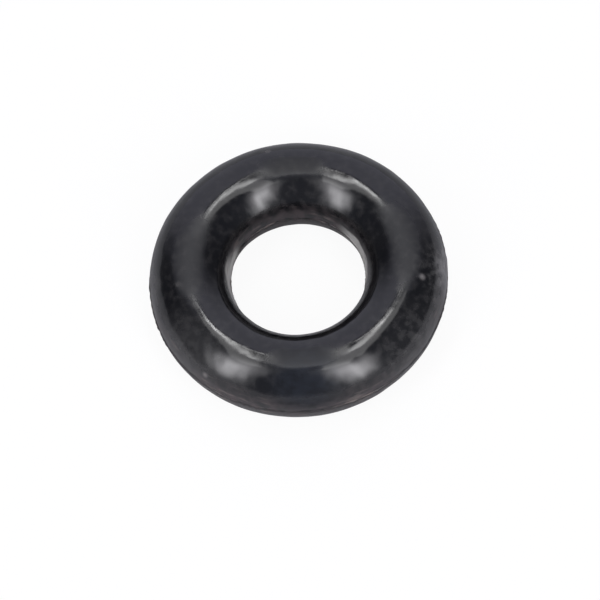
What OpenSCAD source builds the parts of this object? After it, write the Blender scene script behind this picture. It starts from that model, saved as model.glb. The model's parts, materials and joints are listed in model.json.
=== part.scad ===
// A moulded rubber O-ring: one round section, swept round the ring's axis.
// Two mould halves meet at the ring's middle plane. They leave a thin web of rubber between
// them, the flash, which is trimmed to a low fin round the bore and another round the rim.

/* [Ring] */
// Inside diameter of the ring, across the rubber beside the bore's fin
inside_d = 5.94; // [4:0.02:60]
// Diameter of the round section, measured from the bore to the rim
section_d = 3.53; // [1:0.01:7]

/* [Flash] */
// Thickness of the trimmed flash, which is the gap it keeps between the mould halves
flash_t = 0.12; // [0.04:0.01:0.3]
// How far the trimmed flash stands proud of the rubber beside it
flash_h = 0.06; // [0.04:0.01:0.2]
// Extra thickness of the flash at its foot on each side, where the mould's edges are worn
flash_flare = 0.04; // [0.01:0.01:0.1]

/* [Hidden] */
// Segments in a whole circle, both round the section and round the ring
$fn = 160;
section_r = section_d / 2;
// Radius of the circle that the middle of the section runs along
mean_r = inside_d / 2 + section_r;
// Height of each mould half's parting face above or below the middle plane
parting_z = flash_t / 2;
// Tip of the fin, and the inner end of its sloping flank, as far inside the round section
// as the tip is outside it, both measured from the middle of the section
tip_x = section_r + flash_h;
buried_x = section_r - flash_h;
buried_z = parting_z + 2 * flash_flare;

// What one mould half forms: half of the round section, standing on the parting face
module half_disc() {
    translate([0, parting_z])
        intersection() {
            circle(r = section_r);
            translate([-section_r, 0]) square([section_d, section_r]);
        }
}

// The upper half of the web of flash, from the trimmed tip at the bore to the one at the
// rim. It thickens from each tip to the foot of the fin, and ends inside the half disc
module half_web() {
    polygon([
        [-tip_x, 0],
        [tip_x, 0],
        [tip_x, parting_z],
        [buried_x, buried_z],
        [-buried_x, buried_z],
        [-tip_x, parting_z]
    ]);
}

// Everything above the middle plane, which is also what lies below it
module half_section() {
    half_disc();
    half_web();
}

module o_ring() {
    color("#26272b")
        rotate_extrude()
            translate([mean_r, 0]) {
                half_section();
                mirror([0, 1]) half_section();
            }
}

o_ring();
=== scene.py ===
import json
import math

import bpy
import numpy as np
from mathutils import Matrix, Vector


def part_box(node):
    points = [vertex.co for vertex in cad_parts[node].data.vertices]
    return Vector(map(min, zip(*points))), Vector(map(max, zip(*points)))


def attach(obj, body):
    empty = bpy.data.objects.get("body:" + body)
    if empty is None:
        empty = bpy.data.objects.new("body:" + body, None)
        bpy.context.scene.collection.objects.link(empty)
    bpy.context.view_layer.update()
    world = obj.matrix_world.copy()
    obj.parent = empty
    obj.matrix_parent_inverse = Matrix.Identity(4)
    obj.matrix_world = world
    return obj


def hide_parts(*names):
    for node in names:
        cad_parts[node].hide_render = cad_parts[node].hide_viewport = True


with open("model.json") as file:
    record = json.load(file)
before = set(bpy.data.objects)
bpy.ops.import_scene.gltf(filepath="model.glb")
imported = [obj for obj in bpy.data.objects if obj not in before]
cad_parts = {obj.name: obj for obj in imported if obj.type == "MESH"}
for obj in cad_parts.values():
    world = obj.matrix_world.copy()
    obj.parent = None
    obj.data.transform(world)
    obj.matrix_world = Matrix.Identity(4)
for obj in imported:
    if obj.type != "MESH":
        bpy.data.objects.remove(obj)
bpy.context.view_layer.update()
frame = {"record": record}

# ------------------------------------------------------------------------- the rubber ring
# One ring of black nitrile rubber, cured under pressure in a two-part steel mould. A thin
# skin of rubber, the flash, squeezes out where the halves meet; tumbling tears it off and
# leaves a low uneven fin round the bore and another round the rim.
MM = 0.001
MICRON = 0.001 * MM
seats = {mount["name"]: mount["dims"] for mount in frame["record"]["mounts"]}
bore_fin_r = seats["bore_seat"]["r_mm"] * MM
rim_fin_r = seats["rim_seat"]["r_mm"] * MM
flash_t = seats["bore_seat"]["length_mm"] * MM
lowest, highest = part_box("o_ring")
section_r = (highest.z - lowest.z - flash_t) / 2
mean_r = (bore_fin_r + rim_fin_r) / 2
flash_h = (rim_fin_r - bore_fin_r) / 2 - section_r
flash_flare = 0.04 * MM

ROUND_STEPS = 620
ARC_STEPS = 72
rng = np.random.default_rng(41)
around = np.linspace(0, 2 * np.pi, ROUND_STEPS, endpoint=False)


def uneven(finest, falloff):
    """A run of values round the ring that wanders between -1 and 1, with no join."""
    turns = np.arange(1, finest + 1)
    phase = rng.uniform(0, 2 * np.pi, finest)
    run = (turns ** -falloff * np.cos(turns * around[:, None] + phase)).sum(axis=1)
    return run / np.abs(run).max()


def torn_fin(least):
    """How far the torn flash still stands proud at each step, from least of its height up."""
    return flash_h * (least + (1 - least) * (0.5 + 0.5 * uneven(150, 0.45)))


def half_section(side, rim_fin, bore_fin):
    """One mould half's points, from rim to bore: out from the middle of the section at each
    step, up, the skin's own direction in the section, and 1 on the round skin, 0 on the fin."""
    foot = math.asin(flash_flare / section_r)
    arc = np.linspace(foot, np.pi - foot, ARC_STEPS)
    arc_out = np.broadcast_to(section_r * np.cos(arc), (ROUND_STEPS, ARC_STEPS))
    fin_out = np.stack([rim_fin, rim_fin * 0.5, bore_fin * 0.5, bore_fin], axis=1)
    fin_out = fin_out + section_r
    out = np.hstack([fin_out[:, :2], arc_out, -fin_out[:, 2:]])
    up = np.concatenate([[0, flash_flare / 2], section_r * np.sin(arc), [flash_flare / 2, 0]])
    facing = np.concatenate([[0, 0], arc, [np.pi, np.pi]])
    rounded = np.concatenate([[0, 0], np.ones(ARC_STEPS), [0, 0]])
    return out, side * (up + flash_t / 2), side * facing, rounded


rim_fin = torn_fin(0.2)
bore_fin = torn_fin(0.3)
top_out, top_up, top_facing, top_rounded = half_section(1, rim_fin, bore_fin)
low_out, low_up, low_facing, low_rounded = half_section(-1, rim_fin, bore_fin)
section_out = np.hstack([top_out, low_out[:, ::-1]])
section_up = np.concatenate([top_up, low_up[::-1]])
facing = np.concatenate([top_facing, low_facing[::-1]])
rounded = np.concatenate([top_rounded, low_rounded[::-1]])
section_steps = len(section_up)


def on_ring(out, up):
    """Points of the ring, out from the section's middle and up, at each step round."""
    radius = mean_r + out
    return np.stack([radius * np.cos(around)[:, None], radius * np.sin(around)[:, None],
                     np.broadcast_to(up, radius.shape)], axis=-1)


points = on_ring(section_out, section_up)
skin = on_ring(np.broadcast_to(np.cos(facing), section_out.shape) - mean_r, np.sin(facing))

# The mould was polished by hand, so its wall swells and dips by a few microns, less so along
# the crown that is deepest in each half. Each swell has its length in millimetres and its
# height in microns, and runs in four directions.
swells = ((5.2, 4.0), (3.4, 3.0), (2.3, 2.0), (1.4, 1.6), (0.8, 1.1), (0.5, 0.6))
lift = np.zeros(section_out.shape)
for swell_length, swell_height in swells:
    for direction in range(4):
        heading = rng.normal(size=3)
        heading /= np.linalg.norm(heading)
        phase = rng.uniform(0, 2 * np.pi)
        turns = points @ heading * 2 * np.pi / (swell_length * MM)
        lift += swell_height * MICRON * np.sin(turns + phase)
lift *= 1 - 0.75 * np.abs(np.sin(facing)) ** 5

# Grit that was moulded in and nicks, each as its degrees round the ring, its degrees round
# the section, its radius, its height and how pale it is. The paleness is partly the grit's
# own colour and partly a painted highlight on its top.
grains = [(-14.9, 62.7, 0.20, 0.030, 0.13), (-134.6, 22, 0.19, 0.020, 0.14),
          (97.1, 58.2, 0.19, 0.015, 0.07), (108.9, 71.7, 0.14, -0.012, 0.0),
          (-174.5, 73.3, 0.16, 0.010, 0.03), (-22, 33, 0.15, 0.015, 0.06)]


def on_skin(ring_degrees, section_degrees):
    """A point of the skin, by its angle round the ring and its angle round the section."""
    turn = math.radians(ring_degrees)
    lean = math.radians(section_degrees)
    radius = mean_r + section_r * math.cos(lean)
    height = section_r * math.sin(lean) + math.copysign(flash_t / 2, lean)
    return Vector((radius * math.cos(turn), radius * math.sin(turn), height))


for ring_degrees, section_degrees, grain_r, grain_h, paleness in grains:
    away = np.linalg.norm(points - np.array(on_skin(ring_degrees, section_degrees)), axis=-1)
    lift += grain_h * MM * np.exp(-(away / (grain_r * MM * 0.6)) ** 2)

points = points + skin * (lift * rounded)[..., None]

step = np.arange(ROUND_STEPS)[:, None] * section_steps
next_step = np.roll(step, -1, axis=0)
column = np.arange(section_steps)[None, :]
next_column = np.roll(column, -1, axis=1)
faces = np.stack([step + column, next_step + column,
                  next_step + next_column, step + next_column], axis=-1).reshape(-1, 4)

ring_mesh = bpy.data.meshes.new("o_ring_rubber")
ring_mesh.from_pydata(points.reshape(-1, 3).tolist(), [], faces.tolist())
ring_mesh.shade_smooth()
round_share = (np.arange(ROUND_STEPS)[:, None] + np.array([0, 1, 1, 0])) / ROUND_STEPS
section_share = (np.arange(section_steps)[:, None] + np.array([0, 0, 1, 1])) / section_steps
unrolled = np.empty((ROUND_STEPS, section_steps, 4, 2))
unrolled[..., 0] = round_share[:, None, :]
unrolled[..., 1] = section_share[None, :, :]
ring_mesh.uv_layers.new(name="OFBake").data.foreach_set("uv", unrolled.ravel())
ring = bpy.data.objects.new("o_ring_rubber", ring_mesh)
bpy.context.scene.collection.objects.link(ring)

# The rubber: carbon black with a slight bluish cast, its skin as smooth as the mould left it,
# dulled in patches by handling and browned by wax that bloomed out near the torn flash.
rubber = bpy.data.materials.new("black_nitrile")
rubber.use_nodes = True
tree = rubber.node_tree
shader = tree.nodes["Principled BSDF"]
shader.inputs["IOR"].default_value = 1.58


def wired(tree, kind, settings, inputs, output=0):
    """A new node with its settings and inputs filled in; a socket given as input is linked."""
    node = tree.nodes.new(kind)
    for name, value in settings.items():
        setattr(node, name, value)
    for name, value in inputs.items():
        if isinstance(value, bpy.types.NodeSocket):
            tree.links.new(value, node.inputs[name])
        else:
            node.inputs[name].default_value = value
    return node.outputs[output]


def worked(tree, operation, *values):
    """A sum of this kind on one or two values or sockets."""
    return wired(tree, "ShaderNodeMath", {"operation": operation}, dict(enumerate(values)))


def plus(tree, first, second):
    """Two values or sockets added."""
    return worked(tree, "ADD", first, second)


def times(tree, first, second):
    """Two values or sockets multiplied."""
    return worked(tree, "MULTIPLY", first, second)


def ramp(tree, value, start, end, low=0.0, high=1.0, easing="SMOOTHSTEP"):
    """Turns value's span from start to end into low to high, by default eased at both ends."""
    return wired(tree, "ShaderNodeMapRange", {"interpolation_type": easing},
                 {"Value": value, "From Min": start, "From Max": end,
                  "To Min": low, "To Max": high})


def away_from(tree, spot, point):
    """How far a spot lies from one point."""
    return wired(tree, "ShaderNodeVectorMath", {"operation": "DISTANCE"},
                 {0: spot, 1: point}, "Value")


def cloudy(tree, spot, size, detail=2.0):
    """Clouds of about this size in metres, from 0 to 1."""
    return wired(tree, "ShaderNodeTexNoise", {},
                 {"Vector": spot, "Scale": 1 / size, "Detail": detail}, "Fac")


def blend(tree, share, first, second):
    """Mixes two colours, or sockets of colour, by share."""
    return wired(tree, "ShaderNodeMix", {"data_type": "RGBA"},
                 {"Factor": share, 6: first, 7: second}, 2)


place = wired(tree, "ShaderNodeTexCoord", {}, {}, "Object")
height = wired(tree, "ShaderNodeSeparateXYZ", {}, {"Vector": place}, "Z")
off_split = worked(tree, "ABSOLUTE", height)
broad = cloudy(tree, place, 1.6 * MM, 3)
mottle = cloudy(tree, place, 0.35 * MM, 3)
fine = cloudy(tree, place, 0.09 * MM)
drawn_out = wired(tree, "ShaderNodeVectorMath", {"operation": "MULTIPLY"},
                  {0: place, 1: (1, 1, 7)}, "Vector")
streaks = cloudy(tree, drawn_out, 1.1 * MM, 4)

# Beside the split the skin is torn, and round that it is browned by bloomed wax, dulled by
# a film of it and chalky in streaks.
torn = ramp(tree, off_split, 0.085 * MM, 0.055 * MM)
near_split = ramp(tree, off_split, 1.15 * MM, 0.2 * MM)
film = ramp(tree, off_split, 1.55 * MM, 0.6 * MM)
bloom = times(tree, near_split, ramp(tree, mottle, 0.3, 0.68))
chalky = times(tree, near_split, ramp(tree, streaks, 0.56, 0.72))

deep_black = (0.0025, 0.0026, 0.0036, 1)
soft_black = (0.0054, 0.0053, 0.0059, 1)
clouded_black = (0.0160, 0.0152, 0.0156, 1)
wax_brown = (0.046, 0.033, 0.035, 1)
bluish_black = (0.0084, 0.0104, 0.0150, 1)
raw_highlight_grey = (0.40, 0.39, 0.37, 1)
chalk_grey = (0.12, 0.10, 0.093, 1)
torn_black = (0.026, 0.024, 0.024, 1)
colour = blend(tree, ramp(tree, broad, 0.35, 0.7), deep_black, soft_black)
colour = blend(tree, ramp(tree, mottle, 0.42, 0.8), colour, clouded_black)
colour = blend(tree, times(tree, bloom, 0.8), colour, wax_brown)

# Dust that clings to the skin. The pale patches at the rim on both sides are partly a painted
# reflection of the card, brightest on the right. Each patch has its degrees round the ring and
# the section, its reach, how patchy it lies and how pale it is.
dust_and_rim_sheen = ((214, 38, 2.4, 0.4, 0.031), (-42, 14, 2.6, 0.8, 0.036), (-10, 14, 2.4, 0.9, 0.042),
        (-6, 2, 1.6, 0.7, 0.20), (180, 5, 2.0, 0.8, 0.030))
for ring_degrees, section_degrees, reach, patchy, paleness in dust_and_rim_sheen:
    away = away_from(tree, place, on_skin(ring_degrees, section_degrees))
    dust_and_sheen_mask = times(tree, ramp(tree, away, reach * MM, reach * MM * 0.2),
                  ramp(tree, mottle, 0.38, 0.68, 1 - patchy, 1.0))
    colour = blend(tree, dust_and_sheen_mask, colour, (paleness, paleness * 0.98, paleness * 0.98, 1))

# A faint bluish tint in patches on the front.
away = away_from(tree, place, on_skin(269, 52))
bluish_patches = times(tree, ramp(tree, away, 2.1 * MM, 0.7 * MM), ramp(tree, mottle, 0.3, 0.6, 0.4, 1.0))
colour = blend(tree, bluish_patches, colour, bluish_black)

# Where the flash tore off raggedly it left the bore's edge paler, and the pale grey here also
# stands in for the light that the torn fin catches along the bore: a painted highlight. Each
# patch has its degrees round the ring, its reach and its height above the split.
ragged_split = plus(tree, off_split,
                    ramp(tree, streaks, 0.35, 0.65, 0.15 * MM, -0.15 * MM, "LINEAR"))
raw_and_highlight = 0.0
for ring_degrees, reach, top in ((186, 1.9, 0.95), (165, 1.2, 0.60), (15, 1.9, 0.66)):
    away = away_from(tree, place, on_skin(ring_degrees, 179))
    patch = times(tree, ramp(tree, away, reach * MM, reach * MM * 0.4),
                  ramp(tree, ragged_split, top * MM, top * MM * 0.6))
    raw_and_highlight = worked(tree, "MAXIMUM", raw_and_highlight, patch)
colour = blend(tree, raw_and_highlight, colour, raw_highlight_grey)
colour = blend(tree, chalky, colour, chalk_grey)
colour = blend(tree, times(tree, torn, 0.7), colour, torn_black)

# Pale specks on the raised grit: the grit's own colour and a painted highlight on its top.
specks_and_glints = 0.0
for ring_degrees, section_degrees, grain_r, _, paleness in grains:
    if paleness > 0:
        away = away_from(tree, place, on_skin(ring_degrees, section_degrees))
        speck = ramp(tree, away, grain_r * MM * 1.1, 0.0)
        colour = blend(tree, speck, colour, (paleness, paleness * 0.93, paleness * 0.92, 1))
        specks_and_glints = worked(tree, "MAXIMUM", specks_and_glints, speck)
tree.links.new(colour, shader.inputs["Base Color"])

# Where fingers held it the crown has lost its shine: degrees round the ring, reach, how much,
# and how low it goes.
crown_top = 1.80 * MM
held = ((4, 2.7, 0.40, 1.58), (172, 2.7, 0.40, 1.58), (269, 2.0, 0.50, 1.72),
        (87, 1.8, 0.48, 1.72))
dullness = ramp(tree, plus(tree, broad, times(tree, mottle, 0.8)), 0.7, 1.2, 0.09, 0.15)
ragged = ramp(tree, broad, 0.3, 0.7, -0.45 * MM, 0.45 * MM, "LINEAR")
for ring_degrees, reach, loss, low in held:
    away = plus(tree, away_from(tree, place, on_skin(ring_degrees, 90)), ragged)
    handled = ramp(tree, away, reach * MM, reach * MM * 0.35, 0.0, loss)
    crown = ramp(tree, height, low * MM, crown_top)
    dullness = plus(tree, dullness, times(tree, handled, crown))
for layer, loss in ((film, 0.2), (bloom, 0.1), (chalky, 0.3), (torn, 0.25), (specks_and_glints, 0.4)):
    dullness = plus(tree, dullness, times(tree, layer, loss))
tree.links.new(dullness, shader.inputs["Roughness"])

# The skin's own fine grain, and the coarser one that the film of wax has.
skin_grain = plus(tree, mottle, times(tree, fine, 0.12))
film_grain = plus(tree, times(tree, streaks, 4), times(tree, mottle, 3))
relief = plus(tree, skin_grain, times(tree, film, film_grain))
bumped = wired(tree, "ShaderNodeBump", {}, {"Strength": 1.0, "Distance": 1.6 * MICRON,
                                            "Height": relief}, "Normal")
tree.links.new(bumped, shader.inputs["Normal"])
ring_mesh.materials.append(rubber)

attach(ring, "root")
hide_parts("o_ring")

# ------------------------------------------------------------------------- the table top
# A sheet of plain matt card that the ring lies on loose. The camera sees it as white with a
# faint shadow, and the rubber mirrors it as pale grey in front and mid grey at the back. The
# back's darker grey is painted shade from the wall behind, and just before the ring lies a
# painted shadow, where the camera keeps the light off.
table_half = 600 * MM
front_grey = (0.62, 0.62, 0.63, 1)
back_shade_grey = (0.42, 0.42, 0.43, 1)
painted_shadow_grey = (0.22, 0.22, 0.23, 1)
card_white = (0.95, 0.95, 0.95, 1)
whitened = 0.93
corners = [(table_half * x, table_half * y, lowest.z)
           for x, y in ((-1, -1), (1, -1), (1, 1), (-1, 1))]
table_mesh = bpy.data.meshes.new("table")
table_mesh.from_pydata(corners, [], [(0, 1, 2, 3)])
table = bpy.data.objects.new("table", table_mesh)
bpy.context.scene.collection.objects.link(table)
card = bpy.data.materials.new("white_card")
card.use_nodes = True
tree = card.node_tree
matt = tree.nodes["Principled BSDF"]
matt.inputs["Roughness"].default_value = 1.0
matt.inputs["Specular IOR Level"].default_value = 0.0
seen = wired(tree, "ShaderNodeLightPath", {}, {}, "Is Camera Ray")
spot = wired(tree, "ShaderNodeTexCoord", {}, {}, "Object")
backward = wired(tree, "ShaderNodeSeparateXYZ", {}, {"Vector": spot}, "Y")
# In the rubber's view the card is painted darker towards the back: painted shade from the wall.
mirrored = blend(tree, ramp(tree, backward, -8 * MM, 12 * MM), front_grey, back_shade_grey)
off_shade = away_from(tree, spot, (-0.5 * MM, -13 * MM, lowest.z))
# A painted shadow of the camera on the card, seen in the rubber.
mirrored = blend(tree, ramp(tree, off_shade, 5.5 * MM, 2 * MM), mirrored, painted_shadow_grey)
tree.links.new(blend(tree, seen, mirrored, card_white), matt.inputs["Base Color"])
white = wired(tree, "ShaderNodeEmission", {}, {"Color": (1, 1, 1, 1)})
lit = wired(tree, "ShaderNodeMixShader", {}, {"Fac": times(tree, seen, whitened),
                                              1: matt.outputs[0], 2: white})
tree.links.new(lit, tree.nodes["Material Output"].inputs["Surface"])
table_mesh.materials.append(card)

# ------------------------------------------------------------------------- the studio
# A tent of white cloth round the ring: a pale wall curves round behind it, a soft box stands
# on each side of the camera, and on each side three strip lamps hang overhead in a bent row
# that runs back towards the middle of the wall.
sky = bpy.data.worlds.new("studio")
sky.use_nodes = True
tree = sky.node_tree
outlook = wired(tree, "ShaderNodeTexCoord", {}, {}, "Generated")
outlook_parts = wired(tree, "ShaderNodeSeparateXYZ", {}, {"Vector": outlook}).node.outputs
climb = worked(tree, "ARCSINE", outlook_parts["Z"])


def toward(azimuth, elevation):
    """Unit vector from the ring. Azimuth 0 is the camera's side and grows to its right."""
    turn = math.radians(azimuth)
    rise = math.radians(elevation)
    return Vector((math.cos(rise) * math.sin(turn), -math.cos(rise) * math.cos(turn),
                   math.sin(rise)))


def set_square(azimuth, elevation, lean):
    """A lamp's long side, short side and outward direction; lean turns its top to the right."""
    outward = toward(azimuth, elevation)
    rightward = toward(azimuth + 90, 0)
    upward = rightward.cross(outward) * -1
    tilt = math.radians(lean)
    along = upward * math.cos(tilt) + rightward * math.sin(tilt)
    return along, outward.cross(along), outward


def strays(side, outward):
    """How far a direction strays from outward along side, as an angle."""
    across = wired(tree, "ShaderNodeVectorMath", {"operation": "DOT_PRODUCT"},
                   {0: outlook, 1: side}, "Value")
    ahead = wired(tree, "ShaderNodeVectorMath", {"operation": "DOT_PRODUCT"},
                  {0: outlook, 1: outward}, "Value")
    return worked(tree, "ABSOLUTE", worked(tree, "ARCTAN2", across, ahead))


def soft_box(azimuth, elevation, lean, half_length, half_breadth, end_fade, glow):
    """The glow of a cloth-fronted lamp, bright along its middle and fading to its edges."""
    along, across, outward = set_square(azimuth, elevation, lean)
    far = math.radians(half_length + end_fade)
    near = math.radians(half_length - end_fade)
    ends = ramp(tree, strays(along, outward), far, near)
    off_side = strays(across, outward)
    sides = ramp(tree, off_side, math.radians(2 * half_breadth), 0)
    hot = ramp(tree, off_side, math.radians(half_breadth), 0, 0.85, 1.25)
    return times(tree, times(tree, ends, sides), times(tree, hot, glow))


# The wall comes round a little less far on the left, and is brightest at its top.
off_back = worked(tree, "ARCTAN2", outlook_parts["X"], outlook_parts["Y"])
off_back = worked(tree, "MAXIMUM", off_back, times(tree, off_back, -1.16))
wall_sides = ramp(tree, off_back, math.radians(69), math.radians(27))
wall_top = ramp(tree, climb, math.radians(66), math.radians(58))
wall_glow = ramp(tree, climb, 0, math.radians(60), 0.56, 0.76, "LINEAR")
wall = times(tree, times(tree, wall_sides, wall_top), wall_glow)
ceiling = times(tree, ramp(tree, climb, math.radians(72), math.radians(90)), 0.42)
left_box = soft_box(-56, 38, -7, 25.5, 9, 20, 5.4)
right_box = soft_box(32, 36, -1, 26, 8.5, 20, 6.1)
frontward = wired(tree, "ShaderNodeVectorMath", {"operation": "DOT_PRODUCT"},
                  {0: outlook, 1: toward(0, 25)}, "Value")
front = times(tree, ramp(tree, frontward, -0.4, 1.0), 0.17)
gloom = 0.078


def glow_of(colour, strength):
    """A background of this colour, as strong as the socket or number says."""
    return wired(tree, "ShaderNodeBackground", {}, {"Color": (*colour, 1), "Strength": strength})


def added(first, second):
    """Two backgrounds' light together."""
    return wired(tree, "ShaderNodeAddShader", {}, {0: first, 1: second})


boxes = glow_of((1.0, 0.99, 1.02), plus(tree, left_box, right_box))
pale = glow_of((0.95, 0.95, 1.12), plus(tree, wall, ceiling))
dusk = glow_of((0.92, 0.96, 1.14), plus(tree, front, gloom))
tent = added(added(boxes, pale), dusk)
seen = wired(tree, "ShaderNodeLightPath", {}, {}, "Is Camera Ray")
around_ring = wired(tree, "ShaderNodeMixShader", {}, {"Fac": seen, 1: tent,
                                                      2: glow_of((1, 1, 1), 1.0)})
tree.links.new(around_ring, tree.nodes["World Output"].inputs["Surface"])
bpy.context.scene.world = sky
bpy.context.scene.view_settings.view_transform = "Standard"

lamp_distance = 500 * MM


def hang(name, azimuth, elevation, lean, half_length, half_breadth, glow):
    """A flat strip lamp seen from the ring at this place, with its half sizes in degrees."""
    along, across, outward = set_square(azimuth, elevation, lean)
    lamp = bpy.data.lights.new(name, "AREA")
    lamp.shape = "RECTANGLE"
    lamp.size = 2 * lamp_distance * math.tan(math.radians(half_length))
    lamp.size_y = 2 * lamp_distance * math.tan(math.radians(half_breadth))
    lamp.energy = 4 * glow * lamp.size * lamp.size_y
    holder = bpy.data.objects.new(name, lamp)
    turn = Matrix((along, across, outward)).transposed()
    holder.matrix_world = Matrix.Translation(outward * lamp_distance) @ turn.to_4x4()
    holder.visible_camera = False
    bpy.context.scene.collection.objects.link(holder)


hang("left_strip", -170.5, 65.5, 52, 3, 0.75, 12)
hang("left_bend", -147.5, 73.5, 51, 10, 1.4, 4.4)
hang("left_reach", -110.5, 74, 92, 18, 5, 1.2)
hang("right_strip", 167, 67.5, -56, 4.3, 0.75, 7.4)
hang("right_bend", 149, 75, -35, 9, 2.5, 3.8)
hang("right_reach", 84.5, 77, -92, 21, 6.5, 1.2)

# ------------------------------------------------------------------------- the camera
# A long lens looks down on the ring from the front. It is turned a little on its own axis,
# and moved down in its own plane so that the ring lies above the middle of the view.
camera_distance = 300 * MM
view_width = 26.2 * MM
view_elevation = 62.5
view_turn = -6.4
eye = toward(0, view_elevation)
sideways = Vector((1, 0, 0))
turn = Matrix((sideways, eye.cross(sideways), eye)).transposed().to_4x4()
roll = Matrix.Rotation(math.radians(view_turn), 4, "Z")
lens = bpy.data.cameras.new("camera")
lens.sensor_width = 36
lens.lens = lens.sensor_width * camera_distance / view_width
lens.clip_start = 10 * MM
camera = bpy.data.objects.new("camera", lens)
moved = Matrix.Translation((0.07 * MM, -0.92 * MM, camera_distance))
camera.matrix_world = turn @ roll @ moved
bpy.context.scene.collection.objects.link(camera)
bpy.context.scene.camera = camera
